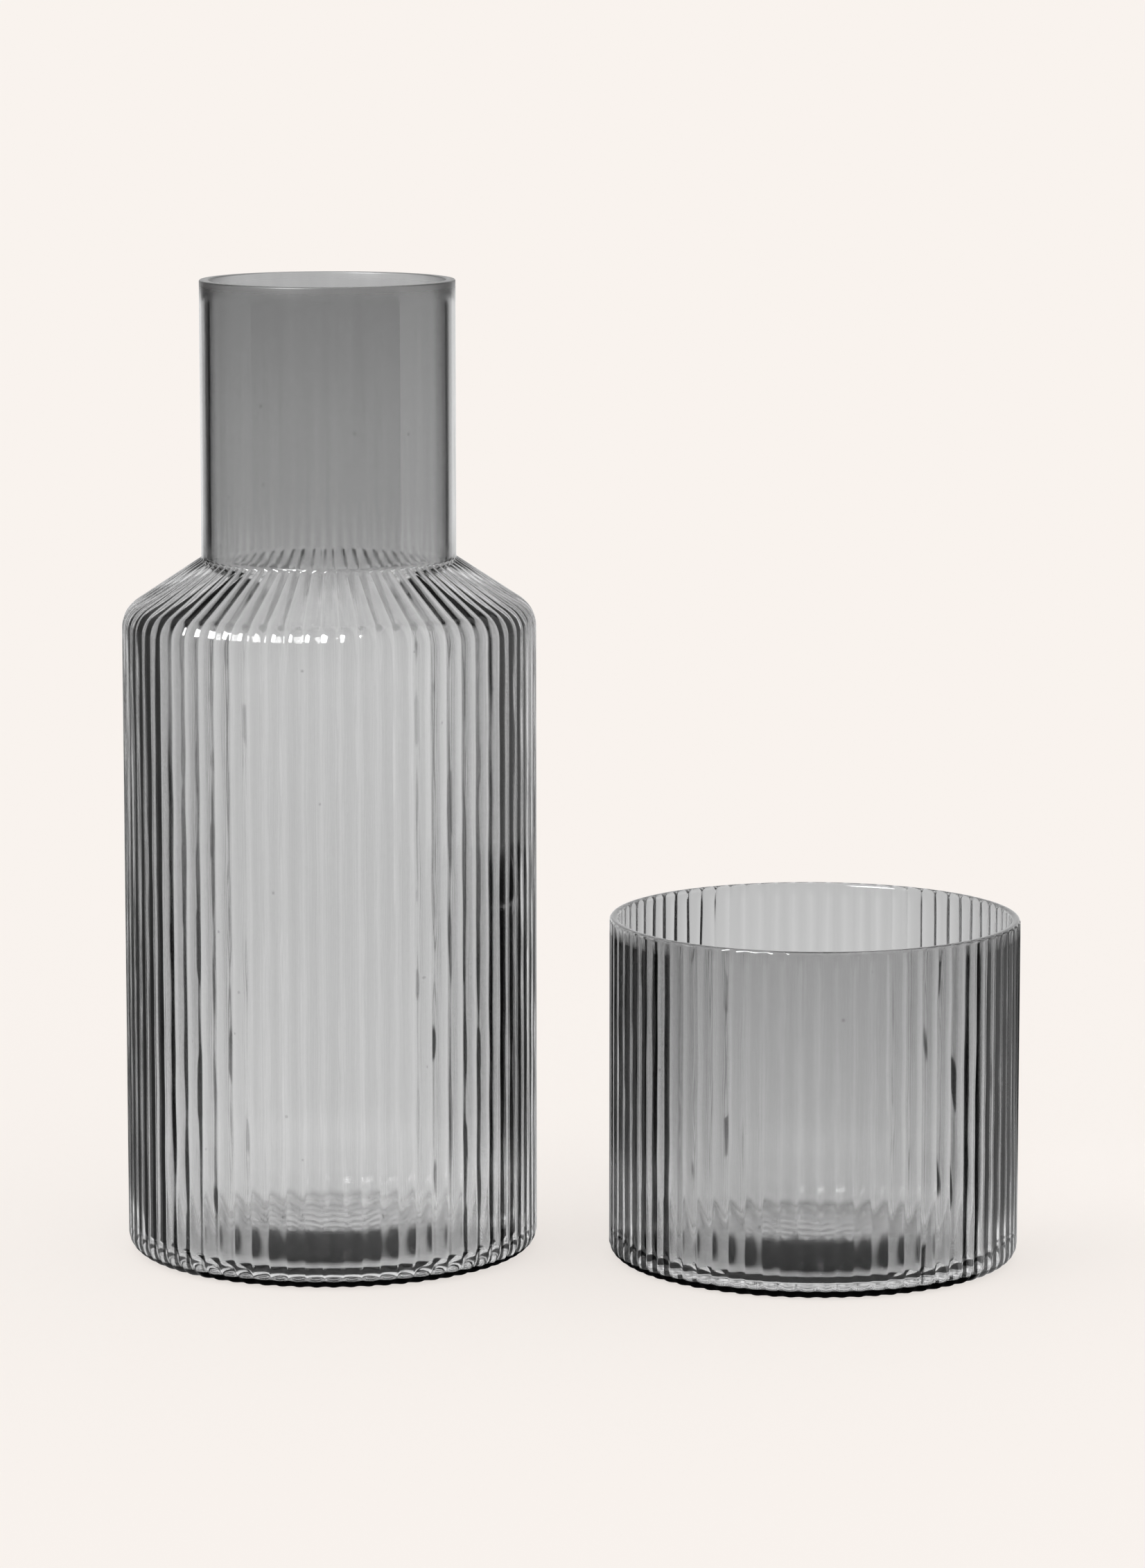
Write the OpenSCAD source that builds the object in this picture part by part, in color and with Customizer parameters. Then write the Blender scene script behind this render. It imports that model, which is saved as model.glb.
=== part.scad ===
// Bedside carafe with the tumbler that covers its neck, both of ribbed smoke-grey glass.
// Millimetres, +Z up. The origin lies on the table, midway between the two pieces.

/* [Carafe] */
// Height from foot to lip
carafe_h = 194; // [180:1:215]
// Width of the body over its ribs
body_d = 82; // [76:1:92]
// Width of the smooth neck
neck_d = 50.4; // [42:0.2:56]
// Length of the smooth neck, from the shoulder to the lip
neck_len = 54.8; // [44:0.2:64]
// Rise of the shoulder from the level, in degrees
shoulder_angle = 33.5; // [26:0.5:42]
// Radius where the body turns into the shoulder
shoulder_round = 6; // [4:0.25:8]
// Radius round the edge of the foot
foot_round = 3.8; // [2.6:0.1:4.8]
// Thickness of the glass in the neck
neck_wall = 2; // [1.5:0.1:2.6]
// Thickness of the glass in the body, at the crest of a rib
body_wall = 1.4; // [1.2:0.1:2.4]
// Thickness of the floor at its middle
floor_wall = 1.3; // [1:0.1:3]
// Radius inside, where the wall meets the floor
inside_round = 4; // [3:0.5:8]
// Rise of the hollow pushed up under the foot
hollow_rise = 1.2; // [0.8:0.1:2]
// Width of the ring that the carafe stands on
stand_ring = 3; // [2:0.25:5]
// Softening of the ground edges of the lip
lip_edge = 0.3; // [0.2:0.05:0.6]
// Radius of the bead of glass where the neck rises from the shoulder
neck_fillet = 0.8; // [0.5:0.05:1.4]

/* [Ribs] */
// Ribs round the carafe
carafe_ribs = 70; // [60:2:80]
// Ribs round the tumbler
tumbler_ribs = 72; // [60:2:80]
// Depth of the grooves between the ribs
rib_depth = 0.45; // [0.3:0.05:0.8]

/* [Tumbler] */
// How far the tumbler's wall stands inside the line of the carafe's body
tumbler_inset = 0.25; // [0:0.05:1]
// Air left over the neck when the tumbler is turned over it as a lid
lid_gap = 2.1; // [0.6:0.1:4]
// Thickness of the wall at the crest of a rib
tumbler_wall = 1.9; // [1.6:0.1:2.6]
// Height of the inner floor over the table
tumbler_floor = 2.5; // [2.2:0.1:4]
// Radius round the edge of the foot
tumbler_foot_round = 3; // [2:0.1:4]
// Radius inside, where the wall meets the floor
tumbler_inside_round = 4; // [3:0.5:7]
// Rise of the hollow pushed up under the foot
tumbler_hollow_rise = 1.2; // [0.6:0.1:1.4]
// Width of the ring that the tumbler stands on
tumbler_stand_ring = 3; // [2:0.25:5]
// Radius of the fire-polished lip
tumbler_lip_round = 0.8; // [0.5:0.05:0.9]
// Length over which the ribs melt away under the lip
rib_fade = 1; // [0.6:0.1:3]

/* [Placing] */
// Gap between the two pieces as they stand
stand_gap = 14.5; // [5:0.5:60]
// How far the tumbler stands in front of the carafe
tumbler_forward = 8; // [4:0.5:30]

/* [Hidden] */
$fn = 240;
// Facets across one rib, and steps round each moulded corner
rib_facets = 4;
corner_steps = 4;
inside_steps = 6;
// Share of a groove's depth that is left where the ribs run out under the foot
foot_groove_share = 0.85;
// How far a cut runs past the face that it opens
overrun = 1;
// How deep the bead round the neck is sunk into the crests of the shoulder
fillet_sink = 0.05;

body_r = body_d / 2;
neck_r = neck_d / 2;
neck_base_z = carafe_h - neck_len;
// Where the shoulder's rounding ends and its straight slope begins
slope_r = body_r - shoulder_round * (1 - sin(shoulder_angle));
slope_z = neck_base_z - (slope_r - neck_r) * tan(shoulder_angle);
side_top_z = slope_z - shoulder_round * cos(shoulder_angle);

tumbler_r = body_r - tumbler_inset;
// Turned over, the tumbler's inner edge sits on the slope of the shoulder, clear of the lip of the neck
seat_r = tumbler_r - tumbler_wall;
seat_z = neck_base_z - (seat_r - neck_r) * tan(shoulder_angle);
tumbler_depth = carafe_h - seat_z + lid_gap;
tumbler_h = tumbler_depth + tumbler_floor;

set_length = body_d + stand_gap + 2 * tumbler_r;
set_depth = body_r + tumbler_forward + tumbler_r;
carafe_at = [body_r - set_length / 2, set_depth / 2 - body_r, 0];
tumbler_at = [set_length / 2 - tumbler_r, tumbler_r - set_depth / 2, 0];

// Points [r, z] on an arc round [r, z] from one angle to another, in degrees above the level
function arc(centre, radius, from, to, steps) = [
    for (i = [0:steps])
        let (angle = from + (to - from) * i / steps)
            [centre[0] + radius * cos(angle), centre[1] + radius * sin(angle)]
];

// Rise of a rib across its width, 0 in the grooves on either side and 1 on the crest
function rib_rise(share) = 1 - pow(2 * share - 1, 2);

// Ring of points at radius r and height z, with grooves cut inwards and down between the crests
function ribbed_ring(r, z, cut_in, cut_down, ribs) = [
    for (i = [0:ribs * rib_facets - 1])
        let (angle = 360 * (i / rib_facets - 0.5) / ribs,
            groove = 1 - rib_rise((i % rib_facets) / rib_facets),
            bottom_r = r - groove * cut_in)
            [bottom_r * cos(angle), bottom_r * sin(angle), z - groove * cut_down]
];

// Ribbed solid lofted through an outline of [r, z, cut in, cut down] from the foot up
module ribbed_loft(outline, ribs) {
    around = ribs * rib_facets;
    rings = len(outline);
    skin = [for (p = outline) each ribbed_ring(p[0], p[1], p[2], p[3], ribs)];
    middles = [[0, 0, outline[0][1]], [0, 0, outline[rings - 1][1]]];
    foot = len(skin);
    top_ring = (rings - 1) * around;
    walls = [
        for (k = [0:rings - 2], i = [0:around - 1])
            let (a = k * around + i, b = k * around + (i + 1) % around)
                each [[a, a + around, b + around], [a, b + around, b]]
    ];
    caps = [
        for (i = [0:around - 1])
            let (j = (i + 1) % around)
                each [[foot, i, j], [foot + 1, top_ring + j, top_ring + i]]
    ];
    polyhedron(points = concat(skin, middles), faces = concat(walls, caps));
}

// Outline of the foot's edge, where the grooves run out towards the ring that it stands on
function foot_outline(r, round) = [
    for (p = arc([r - round, round], round, -90, 0, corner_steps))
        [p[0], p[1], rib_depth * (foot_groove_share + (1 - foot_groove_share) * p[1] / round), 0]
];

// Outline of the shoulder's turn, with grooves square to the surface that narrow with the radius
function shoulder_outline() = [
    for (i = [0:corner_steps])
        let (lean = (90 - shoulder_angle) * i / corner_steps,
            r = body_r - shoulder_round + shoulder_round * cos(lean),
            depth = rib_depth * r / body_r)
            [r, side_top_z + shoulder_round * sin(lean), depth * cos(lean), depth * sin(lean)]
];

// Hollow under a foot of radius r that leaves a flat ring to stand on
module hollow_below(r, ring, rise) {
    rim = r - ring;
    ball = (rim * rim + rise * rise) / (2 * rise);
    translate([0, 0, rise - ball]) sphere(r = ball);
}

// Carafe: ribbed body and shoulder, and a smooth neck with a ground lip
module carafe() {
    // The shoulder ends inside the glass of the neck, so the ribs meet it in a scalloped line
    under_neck_r = neck_r - neck_wall / 2;
    under_neck_depth = rib_depth * under_neck_r / body_r;
    under_neck = [
        under_neck_r,
        neck_base_z + neck_wall / 2 * tan(shoulder_angle),
        under_neck_depth * sin(shoulder_angle),
        under_neck_depth * cos(shoulder_angle)
    ];
    color([0.42, 0.43, 0.44, 0.5])
        translate(carafe_at)
            difference() {
                union() {
                    ribbed_loft(
                        concat(foot_outline(body_r, foot_round), shoulder_outline(), [under_neck]),
                        carafe_ribs
                    );
                    rotate_extrude() polygon(neck_outline());
                }
                rotate_extrude() polygon(carafe_cavity());
                hollow_below(body_r - foot_round, stand_ring, hollow_rise);
            }
}

// Neck as a solid bar, from the bead on the shoulder up to the softened edge of the lip
function neck_outline() =
    let (bead_r = neck_r + neck_fillet,
        bead_z = neck_base_z + neck_fillet * (1 / cos(shoulder_angle) - tan(shoulder_angle)) - fillet_sink,
        bead = arc([bead_r, bead_z], neck_fillet, 270 - shoulder_angle, 180, corner_steps))
            concat(
                [[0, slope_z], [bead[0][0], slope_z]],
                bead,
                arc([neck_r - lip_edge, carafe_h - lip_edge], lip_edge, 0, 90, corner_steps),
                [[0, carafe_h]]
            );

// Space inside the carafe, open at the lip
function carafe_cavity() =
    let (wall_r = body_r - body_wall,
        bore_r = neck_r - neck_wall,
        bore_z = neck_base_z + neck_wall * tan(shoulder_angle) - body_wall / cos(shoulder_angle),
        floor_z = hollow_rise + floor_wall)
            concat(
                [[0, floor_z]],
                arc([wall_r - inside_round, floor_z + inside_round], inside_round, -90, 0, inside_steps),
                arc([body_r - shoulder_round, side_top_z], shoulder_round - body_wall,
                    0, 90 - shoulder_angle, inside_steps),
                [[bore_r, bore_z]],
                arc([bore_r + lip_edge, carafe_h - lip_edge], lip_edge, 180, 90, corner_steps),
                [[bore_r + lip_edge, carafe_h + overrun], [0, carafe_h + overrun]]
            );

// Tumbler: ribbed beaker with a rounded lip, of the depth that clears the carafe's neck
module tumbler() {
    lip_z = tumbler_h - tumbler_lip_round;
    lip = [
        for (p = arc([tumbler_r - tumbler_lip_round, lip_z], tumbler_lip_round, 0, 90, corner_steps))
            [p[0], p[1], 0, 0]
    ];
    outline = concat(
        foot_outline(tumbler_r, tumbler_foot_round),
        [[tumbler_r, lip_z - rib_fade, rib_depth, 0]],
        lip
    );
    color([0.42, 0.43, 0.44, 0.5])
        translate(tumbler_at)
            difference() {
                ribbed_loft(outline, tumbler_ribs);
                rotate_extrude() polygon(tumbler_cavity());
                hollow_below(tumbler_r - tumbler_foot_round, tumbler_stand_ring, tumbler_hollow_rise);
            }
}

// Space inside the tumbler, open at the lip
function tumbler_cavity() =
    let (wall_r = tumbler_r - tumbler_wall,
        lip_z = tumbler_h - tumbler_lip_round)
            concat(
                [[0, tumbler_floor]],
                arc([wall_r - tumbler_inside_round, tumbler_floor + tumbler_inside_round],
                    tumbler_inside_round, -90, 0, inside_steps),
                arc([wall_r + tumbler_lip_round, lip_z], tumbler_lip_round, 180, 90, corner_steps),
                [[wall_r + tumbler_lip_round, tumbler_h + overrun], [0, tumbler_h + overrun]]
            );

carafe();
tumbler();
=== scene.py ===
import math

import bpy
import numpy as np
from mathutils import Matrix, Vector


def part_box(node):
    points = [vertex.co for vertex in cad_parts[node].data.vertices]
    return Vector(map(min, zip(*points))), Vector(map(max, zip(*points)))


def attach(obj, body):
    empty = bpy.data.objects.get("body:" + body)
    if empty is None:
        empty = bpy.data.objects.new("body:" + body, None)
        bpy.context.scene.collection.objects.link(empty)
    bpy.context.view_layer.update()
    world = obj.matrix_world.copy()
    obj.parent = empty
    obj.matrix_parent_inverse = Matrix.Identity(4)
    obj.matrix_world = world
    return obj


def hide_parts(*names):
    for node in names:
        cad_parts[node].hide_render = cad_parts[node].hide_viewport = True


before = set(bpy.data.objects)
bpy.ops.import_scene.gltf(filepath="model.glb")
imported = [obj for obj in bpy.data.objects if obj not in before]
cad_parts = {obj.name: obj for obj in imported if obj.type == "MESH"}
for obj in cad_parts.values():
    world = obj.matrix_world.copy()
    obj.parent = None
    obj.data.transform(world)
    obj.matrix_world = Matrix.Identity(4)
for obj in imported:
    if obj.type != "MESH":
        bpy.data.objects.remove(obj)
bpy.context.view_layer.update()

# Bedside set in ribbed smoke glass: a carafe, and the tumbler that covers its neck

# Camera, first, so that everything else is judged from the photograph's place
cameraView = {
    "imageHeight": 2262,  # pixels along the photograph's long side
    "focalPixels": 8317.5,
    "place": (0.0002, -1.1308, 0.26706),
    "pitchDown": 8.688,
    "sensor": 36.0,
    "clip": (0.01, 200),  # metres
}


def placeCamera(view):
    lens = bpy.data.cameras.new("studioCamera")
    lens.sensor_fit = "AUTO"
    lens.sensor_width = view["sensor"]
    lens.lens = view["focalPixels"] / view["imageHeight"] * view["sensor"]
    lens.clip_start, lens.clip_end = view["clip"]
    camera = bpy.data.objects.new("studioCamera", lens)
    camera.location = view["place"]
    camera.rotation_euler = (math.radians(90 - view["pitchDown"]), 0, 0)
    bpy.context.scene.collection.objects.link(camera)
    bpy.context.scene.camera = camera


placeCamera(cameraView)
print("camera placed")


# Outlines: each row is radius, height, and how far a full groove moves that point out and up

def arcRows(centre, radius, fromAngle, toAngle, steps, push):
    rows = []
    for degrees in np.linspace(fromAngle, toAngle, steps + 1):
        c, s = math.cos(math.radians(degrees)), math.sin(math.radians(degrees))
        rows.append((centre[0] + radius * c, centre[1] + radius * s, *push(degrees, c, s)))
    return rows


def lineRows(start, end, steps, pushStart=(0, 0), pushEnd=(0, 0)):
    return [tuple(np.array(start + pushStart) * (1 - t) + np.array(end + pushEnd) * t)
            for t in np.linspace(0, 1, steps + 2)[1:-1]]


def still(degrees, c, s):
    return 0, 0


rowCounts = {
    "hollow": 18,
    "hollowCrowding": 1.3,  # above 1, the rows crowd towards the middle
    "footEdge": 10,
    "insideCorner": 10,
    "floor": 7,
}


def footRows(radius, look):
    # Hollow under the foot, the ring that it stands on, and its rounded edge
    rim = radius - look["footRound"] - look["standRing"]
    shares = np.linspace(0, 1, rowCounts["hollow"] + 1)[1:] ** rowCounts["hollowCrowding"]
    rows = [(r, look["hollowRise"] * (1 - (r / rim) ** look["hollowPower"]), 0, 0) for r in rim * shares]

    def push(degrees, c, s):
        share = look["footGroove"] + (1 - look["footGroove"]) * (degrees + 90) / 90
        return -share, look["footLift"] * math.sqrt(abs(math.sin(math.radians(2 * degrees))))

    centre = (radius - look["footRound"], look["footRound"])
    return rows + arcRows(centre, look["footRound"], -90, 0, rowCounts["footEdge"], push)


def insideRows(wallRadius, look, topHeight, steps):
    # Down the inner wall, round the corner and across the floor
    corner = look["insideRound"]
    centre = (wallRadius - corner, look["floorHeight"] + corner)
    rows = lineRows((wallRadius, topHeight), (wallRadius, centre[1]), steps, (-1, 0), (-1, 0))
    rows += arcRows(centre, corner, 0, -90, rowCounts["insideCorner"],
                    lambda degrees, c, s: (-max(c, 0) ** 2, 0))
    radii = np.linspace(centre[0], 0, rowCounts["floor"] + 2)[1:-1]
    return rows + [(r, look["floorHeight"], 0, 0) for r in radii]


# Glass walls: one closed skin per piece, from the middle of the foot to the middle of the inner floor

def ribColumns(ribs, facets):
    # Places across a rib crowd towards the valleys, where the glass turns sharply
    across = np.sin(np.linspace(-0.5, 0.5, facets + 1)[:-1] * math.pi)
    return (np.arange(ribs)[:, None] + across[None, :] / 2).ravel() * 2 * math.pi / ribs


def valleyDepth(turn, ribs, softness):
    # 0 on the crest of a lobe and 1 in the valley between two
    lobe = np.cos(turn * ribs / 2)
    crest = math.sqrt(1 + softness ** 2) - softness
    return 1 - (np.sqrt(lobe ** 2 + softness ** 2) - softness) / crest


unevenness = {
    "wanderCounts": (7, 17, 29, 37),  # waves round the piece
    "swellCounts": (5, 13, 31),
    "swellLengths": (0.05, 0.021, 0.034),  # metres up the wall
    "wallCounts": (1, 2, 3, 5),
    "wallLengths": (0.07, 0.09, 0.11, 0.15),
    "ribbedGain": 3,  # a third of a full groove already counts as ribbed
}


def blownSkin(name, centre, outerRows, lipRows, innerRows, look):
    rng = np.random.default_rng(look["seed"])
    ribs, facets = look["ribs"], look["facets"]
    rows = np.array(outerRows + lipRows + innerRows, float)
    outside = len(outerRows)
    turn = ribColumns(ribs, facets)
    radius, height = rows[:, 0:1], rows[:, 1:2]
    # Every rib wanders a little as it climbs, as it does in blown glass
    climb = height * 2 * math.pi

    def drifting(counts, lengths):
        return sum(np.sin(k * turn[None, :] + climb / length + start)
                   for k, length, start in zip(counts, lengths, rng.uniform(0, 2 * math.pi, len(counts))))

    turned = turn[None, :] + 2 * math.pi * look["phase"] / ribs
    turned = turned + look["wander"] * drifting(unevenness["wanderCounts"], look["wanderLengths"])
    swell = 1 + look["depthPlay"] * drifting(unevenness["swellCounts"], unevenness["swellLengths"])
    valley = valleyDepth(turn, ribs, look["softness"])[None, :]
    depth = valley * look["grooveDepth"] * swell
    isInside = (np.arange(len(rows)) >= outside + len(lipRows))[:, None]
    depth = np.where(isInside, depth * look["innerRipple"], depth)
    # The wall's thickness drifts slowly on the inside
    drift = drifting(unevenness["wallCounts"], unevenness["wallLengths"])
    drift = np.where(isInside, drift * look["wallDrift"], 0)
    drift = drift * np.clip(radius / radius.max() * 2 - 1, 0, 1)  # none in the middle of the floor
    r = radius + depth * rows[:, 2:3] + drift
    z = height + depth * rows[:, 3:4] + 0 * turn[None, :]
    points = np.stack([centre[0] + r * np.cos(turned), centre[1] + r * np.sin(turned), z], -1).reshape(-1, 3)
    columns = len(turn)
    foot, floor = len(points), len(points) + 1
    middles = [(*centre, level) for level in (look["hollowRise"], look["floorHeight"])]
    points = np.vstack([points, middles])
    a = (np.arange(len(rows) - 1)[:, None] * columns + np.arange(columns)[None, :]).ravel()
    b = (np.arange(len(rows) - 1)[:, None] * columns + (np.arange(columns)[None, :] + 1) % columns).ravel()
    quads = np.stack([a, b, b + columns, a + columns], 1)
    last = (len(rows) - 1) * columns
    faces = quads.tolist()
    faces += [(foot, (i + 1) % columns, i) for i in range(columns)]
    faces += [(floor, last + i, last + (i + 1) % columns) for i in range(columns)]
    mesh = bpy.data.meshes.new(name)
    mesh.from_pydata(points.tolist(), [], faces)
    mesh.polygons.foreach_set("use_smooth", np.ones(len(faces), bool))
    # What the glass look needs to know: what is ribbed, how deep in a groove, what lies inside, and the lip
    order = np.arange(len(rows))[:, None] + 0 * turn[None, :]
    ribbed = np.clip(np.abs(rows[:, 2:]).sum(1) * unevenness["ribbedGain"], 0, 1)[:, None] * (order < outside)
    marks = {
        "ribbed": ribbed,
        "groove": ribbed * valley,
        "inside": order >= outside + len(lipRows),
        "lip": (order >= outside) & (order < outside + len(lipRows)),
    }
    for mark, perPoint in marks.items():
        values = np.append(perPoint.astype(float).ravel(), [0, float(perPoint[-1, 0])])
        mesh.attributes.new(mark, "FLOAT", "POINT").data.foreach_set("value", values)
    # The way that the skin would face without its ribs
    along = np.gradient(rows[:, :2], axis=0)
    facing = np.stack([along[:, 1], -along[:, 0]], 1) / np.linalg.norm(along, axis=1)[:, None]
    skin = np.stack([facing[:, :1] * np.cos(turn), facing[:, :1] * np.sin(turn), facing[:, 1:] + 0 * turn], -1)
    skin = np.vstack([skin.reshape(-1, 3), [[0, 0, -1], [0, 0, 1]]])
    mesh.attributes.new("skin", "FLOAT_VECTOR", "POINT").data.foreach_set("vector", skin.ravel())
    mesh.update()
    piece = bpy.data.objects.new(name, mesh)
    bpy.context.scene.collection.objects.link(piece)
    return piece


# Carafe

carafeLook = {
    "ribs": 70,
    "facets": 12,
    "grooveDepth": 0.00043,
    "softness": 0.14,
    "wall": 0.0014,
    "neckWall": 0.002,
    "neckRadius": 0.0252,
    "neckLength": 0.0548,
    "neckFillet": 0.0008,
    "boreRound": 0.0012,
    "shoulderAngle": 33.5,
    "shoulderRound": 0.006,
    "footRound": 0.0038,
    "footGroove": 0.85,
    "footLift": 0.9,  # the valleys rise off the table too, which scallops the foot's edge
    "standRing": 0.003,
    "hollowRise": 0.0012,
    "hollowPower": 1.2,
    "floorHeight": 0.0025,
    "insideRound": 0.004,
    "lipEdge": 0.0003,
    "innerRipple": 0.12,
    "wallDrift": 0.00003,
    "phase": 0.0,
    "wander": 0.00075,  # radians
    "wanderLengths": (0.09, 0.031, 0.017, 0.023),
    "depthPlay": 0.04,
    "fadeLength": 0.004,  # how far up the neck the ribs run out
    "seed": 7,
    "rows": {"side": 44, "bend": 12, "slope": 12, "fillet": 5, "fade": 3, "neck": 10, "lip": 4, "bore": 12,
             "boreTurn": 7, "innerSlope": 10, "innerBend": 8, "innerSide": 30},
}


def buildCarafe(look):
    low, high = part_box("carafe")
    centre = ((low.x + high.x) / 2, (low.y + high.y) / 2)
    radius, top = (high.x - low.x) / 2, high.z
    slope = math.radians(look["shoulderAngle"])
    rise, across, steep = math.sin(slope), math.cos(slope), math.tan(slope)
    neckR, neckZ = look["neckRadius"], top - look["neckLength"]
    bend = look["shoulderRound"]
    slopeR = radius - bend * (1 - rise)
    slopeZ = neckZ - (slopeR - neckR) * steep
    sideTop = slopeZ - bend * across
    bendCentre = (radius - bend, sideTop)
    count = look["rows"]
    outer = footRows(radius, look)
    outer += lineRows((radius, look["footRound"]), (radius, sideTop), count["side"], (-1, 0), (-1, 0))
    outer += arcRows(bendCentre, bend, 0, 90 - look["shoulderAngle"], count["bend"],
                     lambda degrees, c, s: (-c * (radius - bend + bend * c) / radius,
                                            -s * (radius - bend + bend * c) / radius))
    fillet = look["neckFillet"]
    filletCentre = (neckR + fillet, neckZ - fillet * steep + fillet / across)
    slopeEnd = (filletCentre[0] - fillet * rise, filletCentre[1] - fillet * across)
    squeeze = (neckR / radius) ** 0.5  # grooves get shallower as the ribs run together
    atTop = (-rise * slopeR / radius, -across * slopeR / radius)
    atNeck = (0, -squeeze / across)
    outer += lineRows((slopeR, slopeZ), slopeEnd, count["slope"], atTop, atNeck)
    outer += arcRows(filletCentre, fillet, 270 - look["shoulderAngle"], 180, count["fillet"],
                     lambda degrees, c, s: atNeck)
    fadeEnd = (neckR, filletCentre[1] + look["fadeLength"])
    outer += lineRows((neckR, filletCentre[1]), fadeEnd, count["fade"], atNeck)
    edge = look["lipEdge"]
    outer += lineRows(fadeEnd, (neckR, top - edge), count["neck"])
    bore = neckR - look["neckWall"]
    lip = arcRows((neckR - edge, top - edge), edge, 0, 90, count["lip"], still)
    lip += arcRows((bore + edge, top - edge), edge, 90, 180, count["lip"], still)
    wallR = radius - look["wall"]
    innerBend = bend - look["wall"]
    boreZ = neckZ + look["neckWall"] * steep - look["wall"] / across
    innerSlopeR = radius - bend + innerBend * rise
    innerSlopeZ = sideTop + innerBend * across
    turnIn = look["boreRound"]
    turnCentre = (bore + turnIn, boreZ - turnIn * steep + turnIn / across)
    turnEnd = (turnCentre[0] - turnIn * rise, turnCentre[1] - turnIn * across)
    inner = lineRows((bore, top - edge), (bore, turnCentre[1]), count["bore"])
    inner += arcRows(turnCentre, turnIn, 180, 270 - look["shoulderAngle"], count["boreTurn"], still)
    inner += lineRows(turnEnd, (innerSlopeR, innerSlopeZ), count["innerSlope"])
    inner += arcRows(bendCentre, innerBend, 90 - look["shoulderAngle"], 0, count["innerBend"], still)
    inner += insideRows(wallR, look, sideTop, count["innerSide"])
    return blownSkin("carafeGlass", centre, outer, lip, inner, look)


# Tumbler

tumblerLook = {
    "ribs": 72,
    "facets": 12,
    "grooveDepth": 0.00043,
    "softness": 0.14,
    "wall": 0.0019,
    "footRound": 0.003,
    "footGroove": 0.85,
    "footLift": 0.9,  # the valleys rise off the table too, which scallops the foot's edge
    "standRing": 0.003,
    "hollowRise": 0.0012,
    "hollowPower": 1.2,
    "floorHeight": 0.0025,
    "insideRound": 0.004,
    "lipRound": 0.0008,
    "ribEnd": 55.0,  # degrees up the rounding of the lip
    "innerRipple": 0.12,
    "wallDrift": 0.00003,
    "phase": 0.25,
    "wander": 0.00075,  # radians
    "wanderLengths": (0.07, 0.027, 0.015, 0.021),
    "depthPlay": 0.04,
    "seed": 11,
    "rows": {"side": 26, "lipOut": 12, "lipIn": 7, "innerSide": 26},
}


def buildTumbler(look):
    low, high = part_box("tumbler")
    centre = ((low.x + high.x) / 2, (low.y + high.y) / 2)
    radius, top = (high.x - low.x) / 2, high.z
    lipRound, wallR = look["lipRound"], radius - look["wall"]
    lipZ = top - lipRound
    count = look["rows"]
    outer = footRows(radius, look)
    outer += lineRows((radius, look["footRound"]), (radius, lipZ), count["side"], (-1, 0), (-1, 0))

    def runOut(degrees, c, s):
        t = min(degrees / look["ribEnd"], 1)
        left = 1 - t * t * (3 - 2 * t)
        return -left * c, -left * s

    lip = arcRows((radius - lipRound, lipZ), lipRound, 0, 90, count["lipOut"], runOut)
    lip += arcRows((wallR + lipRound, lipZ), lipRound, 90, 180, count["lipIn"], still)
    inner = insideRows(wallR, look, lipZ, count["innerSide"])
    return blownSkin("tumblerGlass", centre, outer, lip, inner, look)


carafe = buildCarafe(carafeLook)
tumbler = buildTumbler(tumblerLook)
print("carafe and tumbler blown")


# Smoke glass

def wire(links, source, node, socket):
    # A plain number goes straight onto the socket, anything else is a link
    if isinstance(source, (int, float)):
        node.inputs[socket].default_value = source
    elif isinstance(source, tuple):
        node.inputs[socket].default_value = (*source, 1)
    else:
        links.new(source, node.inputs[socket])


def sum1(tree, operation, a, b=None, c=None):
    node = tree.nodes.new("ShaderNodeMath")
    node.operation = operation
    for i, source in enumerate((a, b, c)):
        if source is not None:
            wire(tree.links, source, node, i)
    return node.outputs[0]


def between(tree, factor, a, b):
    node = tree.nodes.new("ShaderNodeMix")
    for i, source in ((0, factor), (2, a), (3, b)):
        wire(tree.links, source, node, i)
    return node.outputs[0]


def blend(tree, factor, a, b):
    node = tree.nodes.new("ShaderNodeMix")
    node.data_type = "RGBA"
    wire(tree.links, factor, node, 0)
    wire(tree.links, a, node, 6)
    wire(tree.links, b, node, 7)
    return node.outputs[2]


def ramp(tree, value, fromLow, fromHigh, toLow=0.0, toHigh=1.0):
    node = tree.nodes.new("ShaderNodeMapRange")
    node.interpolation_type = "SMOOTHSTEP"
    wire(tree.links, value, node, 0)
    for i, number in enumerate((fromLow, fromHigh, toLow, toHigh)):
        node.inputs[i + 1].default_value = number
    return node.outputs[0]


cordsLook = {
    "wide": (420.0, 420.0, 12.6),  # noise per metre across, across and up
    "narrow": (1500.0, 1500.0, 30.0),
    "narrowShare": 0.5,
    "spindle": (330.0, 330.0, 75.0),
    "spindleFrom": (0.6, 0.68),
    "seedScale": 110.0,
    "seedSize": (0.027, 0.045),
}


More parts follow.
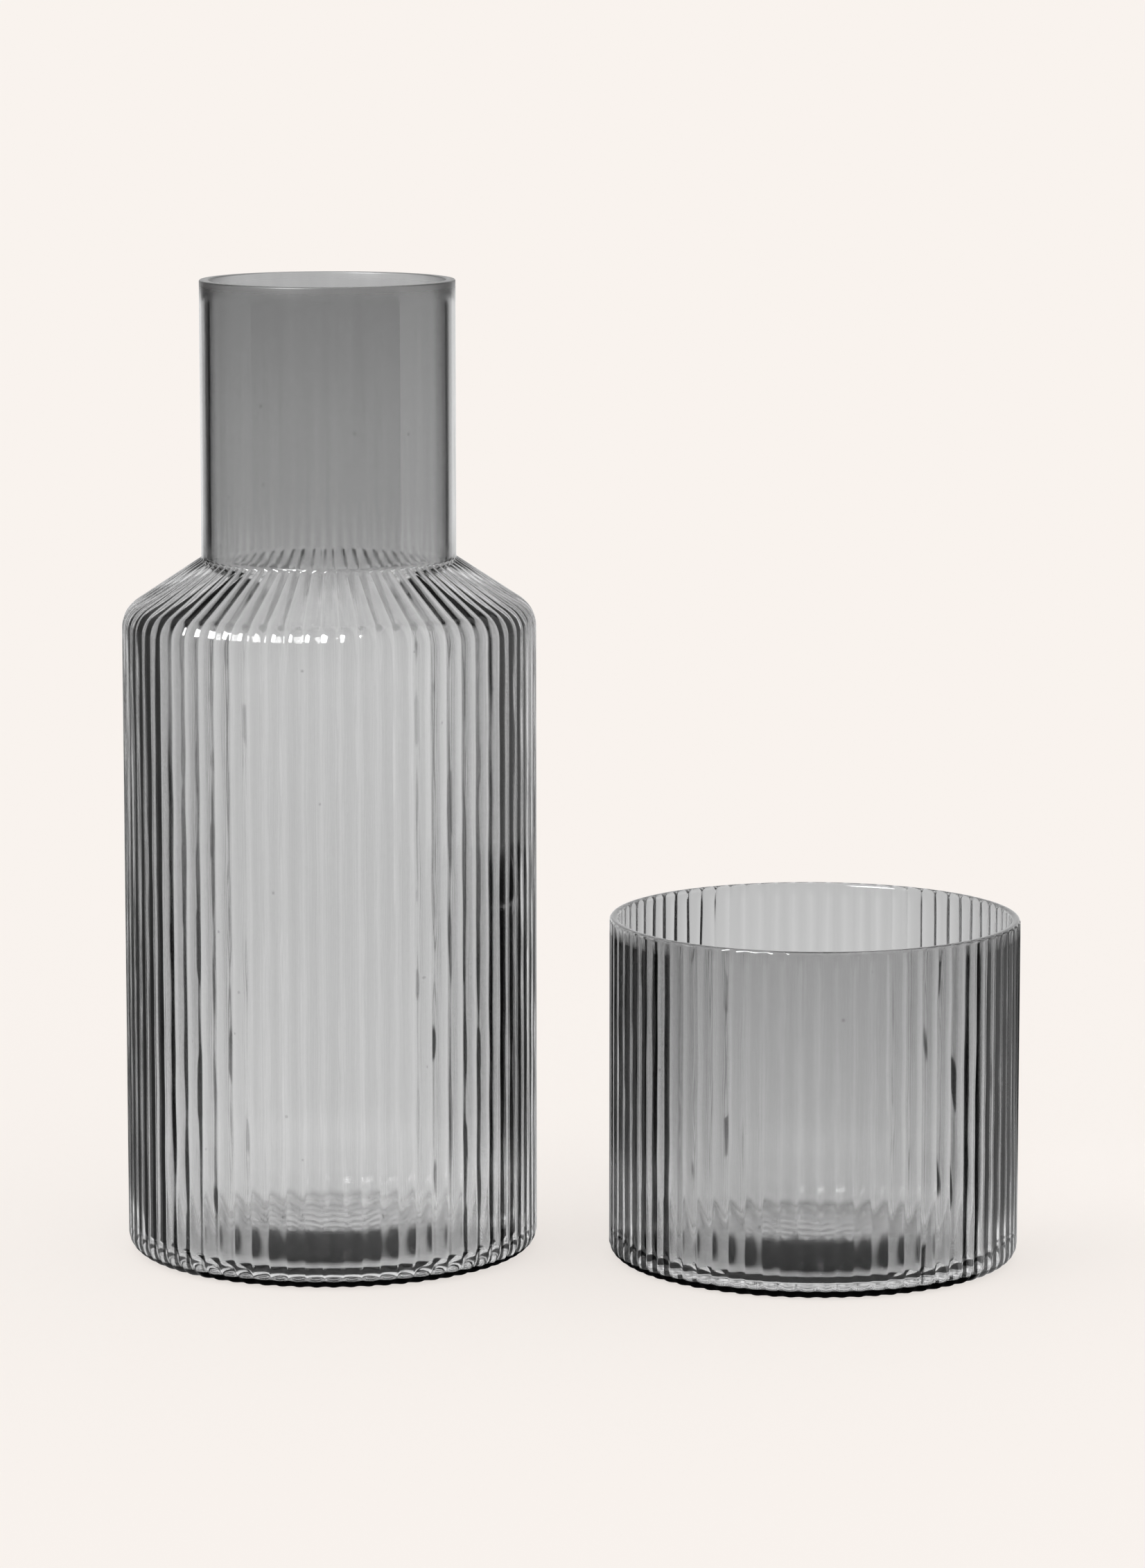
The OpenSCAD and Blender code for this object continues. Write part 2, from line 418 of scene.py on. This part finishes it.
def cordsGroup(look):
    # Streaks in the glass that run up the wall, short spindles, and a few tiny seeds trapped in it
    tree = bpy.data.node_groups.new("glassCords", "ShaderNodeTree")
    for label in ("Streaks", "Seeds"):
        tree.interface.new_socket(label, in_out="INPUT", socket_type="NodeSocketFloat")
    for label in ("Tone", "Height", "Spindle"):
        tree.interface.new_socket(label, in_out="OUTPUT", socket_type="NodeSocketFloat")
    given, ends = tree.nodes.new("NodeGroupInput"), tree.nodes.new("NodeGroupOutput")
    place = tree.nodes.new("ShaderNodeTexCoord").outputs["Object"]

    def stretchedNoise(scale, detail):
        stretch = tree.nodes.new("ShaderNodeMapping")
        stretch.inputs["Scale"].default_value = scale
        tree.links.new(place, stretch.inputs[0])
        noise = tree.nodes.new("ShaderNodeTexNoise")
        noise.inputs["Scale"].default_value = 1
        noise.inputs["Detail"].default_value = detail
        tree.links.new(stretch.outputs[0], noise.inputs["Vector"])
        return noise.outputs[0]

    wide, narrow = (sum1(tree, "SUBTRACT", stretchedNoise(look[key], 2), 0.5) for key in ("wide", "narrow"))
    both = sum1(tree, "MULTIPLY_ADD", narrow, look["narrowShare"], wide)
    spindle = ramp(tree, stretchedNoise(look["spindle"], 0), *look["spindleFrom"])
    seeds = tree.nodes.new("ShaderNodeTexVoronoi")
    seeds.inputs["Scale"].default_value = look["seedScale"]
    tree.links.new(place, seeds.inputs["Vector"])
    seed = ramp(tree, seeds.outputs["Distance"], *look["seedSize"], 1.0, 0.0)
    tone = sum1(tree, "MULTIPLY_ADD", both, given.outputs["Streaks"], 1.0)
    tone = sum1(tree, "SUBTRACT", tone, sum1(tree, "MULTIPLY", seed, given.outputs["Seeds"]))
    tree.links.new(tone, ends.inputs["Tone"])
    tree.links.new(sum1(tree, "ADD", both, seed), ends.inputs["Height"])
    tree.links.new(spindle, ends.inputs["Spindle"])
    return tree


glassCords = cordsGroup(cordsLook)


def slants(degrees):
    # What Layer Weight calls Facing, at each of these slants
    return [1 - math.cos(math.radians(a)) for a in degrees]


def turnedAway(tree, normal=None):
    # 0 where the surface faces the eye, or would with this normal, and 1 at its edge
    weight = tree.nodes.new("ShaderNodeLayerWeight")
    weight.inputs["Blend"].default_value = 0.5
    if normal is not None:
        tree.links.new(normal, weight.inputs["Normal"])
    return weight.outputs["Facing"]


def readMarks(tree):
    marks = {}
    for mark in ("ribbed", "groove", "inside", "lip"):
        node = tree.nodes.new("ShaderNodeAttribute")
        node.attribute_name = mark
        marks[mark] = node.outputs["Fac"]
    return marks


def smokeTintAndPaintedLight(tree, look, height):
    # The smoke tint sits at the surface and deepens towards the top; its lighter tone low down is partly painted
    # light from the table below
    stain = tree.nodes.new("ShaderNodeValToRGB")
    tree.links.new(height, stain.inputs[0])
    stops = stain.color_ramp.elements
    while len(stops) < len(look["stain"]):
        stops.new(0.5)
    for stop, (at, shade) in zip(stops, look["stain"]):
        stop.position = at
        stop.color = (shade, shade, shade, 1)
    return stain.outputs[0]


def paintedFlankShade(tree, look, slant, spindle):
    # Painted shade: the side of a rib is painted dark where it turns far from the line of the wall towards the
    # eye, standing in for the dark room seen bent through it. The spindles lower that limit here and there, which
    # leaves short painted dark marks in the grooves nearer the middle
    skin = tree.nodes.new("ShaderNodeAttribute")
    skin.attribute_name = "skin"
    world = tree.nodes.new("ShaderNodeVectorTransform")
    world.vector_type = "NORMAL"
    world.convert_from, world.convert_to = "OBJECT", "WORLD"
    tree.links.new(skin.outputs["Vector"], world.inputs[0])
    plain = turnedAway(tree, world.outputs[0])
    limit = sum1(tree, "MULTIPLY_ADD", sum1(tree, "SQRT", plain), look["flankRise"], look["flankFrom"])
    limit = sum1(tree, "MULTIPLY_ADD", spindle, -look["spindleDepth"], limit)
    over = sum1(tree, "SUBTRACT", sum1(tree, "SUBTRACT", plain, slant), limit)
    aside = sum1(tree, "MAXIMUM", ramp(tree, plain, *slants(look["flankAside"])), spindle)
    return sum1(tree, "MULTIPLY", ramp(tree, over, 0.0, look["flankSoft"]), aside)


def paintedSlantShade(tree, look, marks, z, height, spindle):
    # Painted shade: the base colour goes black where light crosses a wall at a steep slant, standing in for light
    # bent away towards the dark room
    slant = turnedAway(tree)
    within = tree.nodes.new("ShaderNodeNewGeometry").outputs["Backfacing"]
    outside = sum1(tree, "SUBTRACT", 1.0, within)
    out = sum1(tree, "MULTIPLY", ramp(tree, slant, *slants(look["leaving"])), marks["ribbed"])
    out = sum1(tree, "MULTIPLY", out, ramp(tree, z, *look["footClear"]))
    across = sum1(tree, "MULTIPLY", ramp(tree, slant, *slants(look["crossing"])), marks["inside"])
    out = sum1(tree, "MULTIPLY", sum1(tree, "MAXIMUM", out, across), within)
    into = ramp(tree, slant, *slants(look["entering"]))
    into = sum1(tree, "MAXIMUM", into, paintedFlankShade(tree, look, slant, spindle))
    into = sum1(tree, "MULTIPLY", sum1(tree, "MULTIPLY", into, marks["ribbed"]), outside)
    lost = sum1(tree, "MULTIPLY", sum1(tree, "MAXIMUM", out, into), ramp(tree, height, *look["slantFade"]))
    # Painted shadow: the foot's edge is painted black, standing in for the shadow that it looks down into
    footLine = sum1(tree, "MULTIPLY", ramp(tree, z, *look["footLine"], 1.0, 0.0), outside)
    return sum1(tree, "MAXIMUM", sum1(tree, "MULTIPLY", lost, look["slantShare"]), footLine)


def smokeGlass(name, look):
    material = bpy.data.materials.new(name)
    material.use_nodes = True
    tree = material.node_tree
    shader = tree.nodes["Principled BSDF"]
    shader.inputs["Transmission Weight"].default_value = 1
    shader.inputs["IOR"].default_value = look["refraction"]
    split = tree.nodes.new("ShaderNodeSeparateXYZ")
    tree.links.new(tree.nodes.new("ShaderNodeTexCoord").outputs["Object"], split.inputs[0])
    height = sum1(tree, "DIVIDE", split.outputs[2], look["height"])
    marks = readMarks(tree)
    cords = tree.nodes.new("ShaderNodeGroup")
    cords.node_tree = glassCords
    cords.inputs["Streaks"].default_value = look["streakShade"]
    cords.inputs["Seeds"].default_value = look["seedShade"]
    # Thin glass in the grooves is lighter, and cords and seeds run through the wall
    crest = 1 - look["grooveLight"] * look["crestShare"]
    tone = sum1(tree, "MULTIPLY_ADD", marks["groove"], look["grooveLight"], crest)
    shaded = tree.nodes.new("ShaderNodeVectorMath")
    shaded.operation = "SCALE"
    tree.links.new(smokeTintAndPaintedLight(tree, look, height), shaded.inputs[0])
    tree.links.new(sum1(tree, "MULTIPLY", tone, cords.outputs["Tone"]), shaded.inputs["Scale"])
    # Painted shade: at steep slants, on the ribs' dark sides and along the foot's edge the base colour is blended
    # to black
    lost = paintedSlantShade(tree, look, marks, split.outputs[2], height, cords.outputs["Spindle"])
    tree.links.new(blend(tree, lost, shaded.outputs[0], (0.0, 0.0, 0.0)), shader.inputs["Base Color"])
    bump = tree.nodes.new("ShaderNodeBump")
    bump.inputs["Strength"].default_value = look["cordBump"]
    bump.inputs["Distance"].default_value = look["cordHeight"]
    tree.links.new(cords.outputs["Height"], bump.inputs["Height"])
    tree.links.new(bump.outputs[0], shader.inputs["Normal"])
    rough = sum1(tree, "MULTIPLY", marks["lip"], look["lipRoughness"])
    rough = sum1(tree, "MULTIPLY_ADD", marks["ribbed"], look["ribRoughness"], rough)
    tree.links.new(rough, shader.inputs["Roughness"])
    body = tree.nodes.new("ShaderNodeVolumeAbsorption")
    body.inputs["Color"].default_value = (0, 0, 0, 1)
    body.inputs["Density"].default_value = look["density"]
    tree.links.new(body.outputs[0], tree.nodes["Material Output"].inputs["Volume"])
    return material


carafeSmokeLook = {
    "height": 0.194,
    "refraction": 1.52,
    "density": 3,
    # Share of the height, and how much light one face of the wall lets through there; the lighter stops low down
    # are partly painted light
    "stain": ((0.0, 0.9), (0.02, 0.88), (0.15, 0.872), (0.4, 0.85), (0.62, 0.866), (0.68, 0.798), (0.72, 0.66),
              (0.85, 0.628), (1.0, 0.542)),
    # Painted shade: the slants below set where the base colour is painted black
    "leaving": (38.5, 41.1),  # degrees of slant over which light is lost on its way out through a rib
    "crossing": (38.5, 41.3),  # the same at the inner wall
    "entering": (68, 80),  # and on its way in through a rib
    "flankFrom": 0.0,  # how far a rib's side turns before it goes dark, in the middle
    "flankRise": 0.265,  # and how much further towards the edge of the piece
    "flankSoft": 0.03,
    "flankAside": (15, 25),  # degrees round from the middle over which the dark sides come in
    "spindleDepth": 0.018,
    "slantShare": 0.985,
    "slantFade": (0.3, 0.75, 1.0, 0.45),  # the slants are darkest low down: heights, then strengths
    # Painted shadow: footLine is the black line painted round the foot's edge
    "footLine": (0.0017, 0.0022),  # metres: the black line round the foot ends here
    "footClear": (0.004, 0.008),  # metres: below this, light gets out through the foot's rounding
    "lipRoughness": 0.35,
    "ribRoughness": 0.1,
    "grooveLight": 0.2,
    "crestShare": 0.35,  # the part of grooveLight by which a crest is darker
    "streakShade": 0.16,
    "seedShade": 0.35,
    "cordBump": 0.06,
    "cordHeight": 0.0001,
}
tumblerSmokeLook = {
    **carafeSmokeLook,
    "height": 0.0684,
    "stain": ((0.0, 0.85), (0.06, 0.79), (0.3, 0.769), (0.7, 0.697), (1.0, 0.654)),
    "flankFrom": 0.078,
    "flankRise": 0.085,
    "flankAside": (40, 49),
    "spindleDepth": 0.03,
    "slantFade": (0.0, 1.0, 1.0, 1.0),  # no fade
    "lipRoughness": 0.0,
}
carafeSmoke = smokeGlass("carafeSmoke", carafeSmokeLook)
tumblerSmoke = smokeGlass("tumblerSmoke", tumblerSmokeLook)
carafe.data.materials.append(carafeSmoke)
tumbler.data.materials.append(tumblerSmoke)
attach(carafe, "carafe")
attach(tumbler, "tumbler")
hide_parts("carafe")
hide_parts("tumbler")
print("glass coloured")


# Studio

studioLook = {
    "cream": (0.947, 0.896, 0.855),
    "throughGlass": 0.905,
    "mirrorDark": 0.02,  # what glass mirrors where no panel stands
    "panelFrom": 70.0,  # degrees to either side of the viewer
    "panelTo": 118.0,
    "panelSoft": 0.6,
    "panelFade": 8.0,
    "panelRight": 0.9,
    "panelLeft": 0.3,
    "backFrom": 152.0,
    "backSoft": 5.0,
    "back": 0.9,
    "ceiling": 0.07,  # share of the room's light that comes back from above, mirrored once inside the glass
    "often": (1.2, 1.8),  # between one mirroring and two
    "lost": 1.2,
    "guided": 1.3,
    # Painted shadow under each foot, seen only through the glass
    "under": 0.015,  # what is left of the table's light under a foot
    "underFrom": 0.021,  # metres from the middle of the shade
    "underTo": 0.031,
    "underShift": -0.006,
    "underSqueeze": 1.5,  # the shade is this much narrower than deep
    # Painted light: the table close by is painted bright for light mirrored more than once
    "nearTo": (0.055, 0.075),  # metres: the table close by ends here
    "floorSize": 60.0,
    "floorGlow": 0.75,
    "skyShare": 0.92,
    "sunAngle": 24.0,
    "sunTilt": 38.0,
    "sunTurn": -50.0,
}


def roomGroup(look):
    # Which way something lies from the set decides what the glass mirrors there
    tree = bpy.data.node_groups.new("studioRoom", "ShaderNodeTree")
    tree.interface.new_socket("Direction", in_out="INPUT", socket_type="NodeSocketVector")
    tree.interface.new_socket("Front", in_out="OUTPUT", socket_type="NodeSocketFloat")
    tree.interface.new_socket("Within", in_out="OUTPUT", socket_type="NodeSocketFloat")
    inside, outside = tree.nodes.new("NodeGroupInput"), tree.nodes.new("NodeGroupOutput")
    split = tree.nodes.new("ShaderNodeSeparateXYZ")
    tree.links.new(inside.outputs[0], split.inputs[0])
    ahead = sum1(tree, "MULTIPLY", split.outputs[1], -1.0)
    turn = sum1(tree, "MULTIPLY", sum1(tree, "ARCTAN2", split.outputs[0], ahead), 180 / math.pi)
    total = look["mirrorDark"]
    start, end, soft, fade = (look[key] for key in ("panelFrom", "panelTo", "panelSoft", "panelFade"))
    for side, strength in ((1.0, look["panelRight"]), (-1.0, look["panelLeft"])):
        across = sum1(tree, "MULTIPLY", turn, side)
        into = ramp(tree, across, start - soft, start + soft)
        out = ramp(tree, across, end - fade, end + fade, 1.0, 0.0)
        total = sum1(tree, "ADD", total, sum1(tree, "MULTIPLY", sum1(tree, "MULTIPLY", into, out), strength))
    behind = ramp(tree, sum1(tree, "ABSOLUTE", turn), look["backFrom"] - look["backSoft"],
                  look["backFrom"] + look["backSoft"], look["mirrorDark"], look["back"])
    tree.links.new(sum1(tree, "MAXIMUM", total, behind), outside.inputs[0])
    tree.links.new(behind, outside.inputs[1])
    return tree


studioRoom = roomGroup(studioLook)


def backdropColour(tree, look, direction, sole, guided, shade=None):
    # Cream for the camera, neutral straight through clear glass, and the room in mirrored light. Light that is
    # mirrored once inside the glass takes the sole share of it. What is mirrored more often takes the lost share,
    # or the guided level where the wall leads it on
    path = tree.nodes.new("ShaderNodeLightPath")
    room = tree.nodes.new("ShaderNodeGroup")
    room.node_tree = studioRoom
    tree.links.new(direction, room.inputs[0])
    glassy = sum1(tree, "MAXIMUM", path.outputs["Is Glossy Ray"], path.outputs["Is Transmission Ray"])
    mirrored = sum1(tree, "MINIMUM", path.outputs["Glossy Depth"], 1.0)
    within = sum1(tree, "MINIMUM", path.outputs["Transmission Depth"], 1.0)
    often = ramp(tree, path.outputs["Glossy Depth"], *look["often"])
    # On the floor, the guided level is painted light on the table close by
    spent = between(tree, guided, sum1(tree, "MULTIPLY", room.outputs[1], look["lost"]), look["guided"])
    inner = between(tree, often, sum1(tree, "MULTIPLY", room.outputs[1], sole), spent)
    level = between(tree, mirrored, look["throughGlass"], between(tree, within, room.outputs[0], inner))
    # Painted shadow: shade darkens the table under each foot
    if shade is not None:
        level = sum1(tree, "MULTIPLY", level, sum1(tree, "MAXIMUM", shade, often))
    grey = tree.nodes.new("ShaderNodeCombineColor")
    for i in range(3):
        tree.links.new(level, grey.inputs[i])
    return blend(tree, glassy, look["cream"], grey.outputs[0])


def paintedFootShadow(tree, look):
    # Painted shadow: the table under each foot is painted dark where glass looks at it; the second mask marks the
    # table close by, painted bright for light mirrored more than once
    clear, near = 1.0, 0.0
    for piece in (carafe, tumbler):
        place = tree.nodes.new("ShaderNodeTexCoord")
        place.object = piece
        low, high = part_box(piece.name.replace("Glass", ""))
        middle = ((low.x + high.x) / 2, (low.y + high.y) / 2 + look["underShift"], 0)
        reach = []
        for squeeze in ((look["underSqueeze"], 1, 1), (1, 1, 1)):
            squeezed = tree.nodes.new("ShaderNodeVectorMath")
            squeezed.operation = "MULTIPLY"
            tree.links.new(place.outputs["Object"], squeezed.inputs[0])
            squeezed.inputs[1].default_value = squeeze
            away = tree.nodes.new("ShaderNodeVectorMath")
            away.operation = "DISTANCE"
            tree.links.new(squeezed.outputs[0], away.inputs[0])
            away.inputs[1].default_value = [m * s for m, s in zip(middle, squeeze)]
            reach.append(away.outputs["Value"])
        gone = ramp(tree, reach[0], look["underFrom"], look["underTo"], look["under"], 1.0)
        clear = sum1(tree, "MULTIPLY", gone, clear)
        near = sum1(tree, "MAXIMUM", ramp(tree, reach[1], *look["nearTo"], 1.0, 0.0), near)
    return clear, near


def buildFloor(look):
    half = look["floorSize"] / 2
    mesh = bpy.data.meshes.new("studioFloor")
    corners = [(-half, -half, 0), (half, -half, 0), (half, half, 0), (-half, half, 0)]
    mesh.from_pydata(corners, [], [(0, 1, 2, 3)])
    floor = bpy.data.objects.new("studioFloor", mesh)
    bpy.context.scene.collection.objects.link(floor)
    material = bpy.data.materials.new("paleFloor")
    material.use_nodes = True
    tree = material.node_tree
    tree.nodes.remove(tree.nodes["Principled BSDF"])
    place = tree.nodes.new("ShaderNodeNewGeometry")
    # Painted shadow under each foot and painted light on the table close by, both seen only through the glass
    clear, near = paintedFootShadow(tree, look)
    colour = backdropColour(tree, look, place.outputs["Position"], 1.0, near, clear)
    glow = tree.nodes.new("ShaderNodeEmission")
    tree.links.new(colour, glow.inputs["Color"])
    glow.inputs["Strength"].default_value = look["floorGlow"]
    matt = tree.nodes.new("ShaderNodeBsdfDiffuse")
    fainter = tree.nodes.new("ShaderNodeVectorMath")
    fainter.operation = "SCALE"
    fainter.inputs["Scale"].default_value = 1 - look["floorGlow"]
    tree.links.new(colour, fainter.inputs[0])
    tree.links.new(fainter.outputs[0], matt.inputs["Color"])
    both = tree.nodes.new("ShaderNodeAddShader")
    tree.links.new(glow.outputs[0], both.inputs[0])
    tree.links.new(matt.outputs[0], both.inputs[1])
    tree.links.new(both.outputs[0], tree.nodes["Material Output"].inputs["Surface"])
    mesh.materials.append(material)


def buildWorld(look):
    world = bpy.data.worlds.new("studioWorld")
    world.use_nodes = True
    tree = world.node_tree
    ray = tree.nodes.new("ShaderNodeTexCoord")
    colour = backdropColour(tree, look, ray.outputs["Generated"], look["ceiling"], 1.0)
    path = tree.nodes.new("ShaderNodeLightPath")
    sky = blend(tree, path.outputs["Is Diffuse Ray"], colour, (look["skyShare"],) * 3)
    tree.links.new(sky, tree.nodes["Background"].inputs["Color"])
    bpy.context.scene.world = world


def hangSun(look):
    lamp = bpy.data.lights.new("window", "SUN")
    lamp.angle = math.radians(look["sunAngle"])
    lamp.energy = math.pi * (1 - look["skyShare"]) / math.cos(math.radians(look["sunTilt"]))
    sun = bpy.data.objects.new("window", lamp)
    sun.rotation_euler = (math.radians(look["sunTilt"]), 0, math.radians(look["sunTurn"]))
    sun.visible_glossy = False
    sun.visible_transmission = False
    bpy.context.scene.collection.objects.link(sun)


softboxLook = {
    "turn": -40.0,  # degrees to the viewer's left of the camera
    "lift": 36.0,
    "distance": 1.3,
    "width": 0.55,
    "height": 0.6,
    "aim": 0.12,  # metres over the table
    "brightness": 30.0,
}


def hangSoftbox(look):
    area = look["width"] * look["height"]
    lamp = bpy.data.lights.new("softbox", "AREA")
    lamp.shape = "RECTANGLE"
    lamp.size, lamp.size_y = look["width"], look["height"]
    lamp.energy = look["brightness"] * math.pi * area
    box = bpy.data.objects.new("softbox", lamp)
    turn, lift = math.radians(look["turn"]), math.radians(look["lift"])
    level, rise = look["distance"] * math.cos(lift), look["distance"] * math.sin(lift)
    box.location = (level * math.sin(turn), -level * math.cos(turn), look["aim"] + rise)
    box.rotation_euler = (math.radians(90) - lift, 0, turn)
    box.visible_diffuse = False
    box.visible_camera = False
    bpy.context.scene.collection.objects.link(box)


buildFloor(studioLook)
buildWorld(studioLook)
hangSun(studioLook)
hangSoftbox(softboxLook)
bpy.context.scene.view_settings.view_transform = "Standard"
bounces = {"all": 32, "transmission": 32, "glossy": 16}  # light crosses many ribs before it gets out
bpy.context.scene.cycles.max_bounces = bounces["all"]
bpy.context.scene.cycles.transmission_bounces = bounces["transmission"]
bpy.context.scene.cycles.glossy_bounces = bounces["glossy"]
print("studio lit")
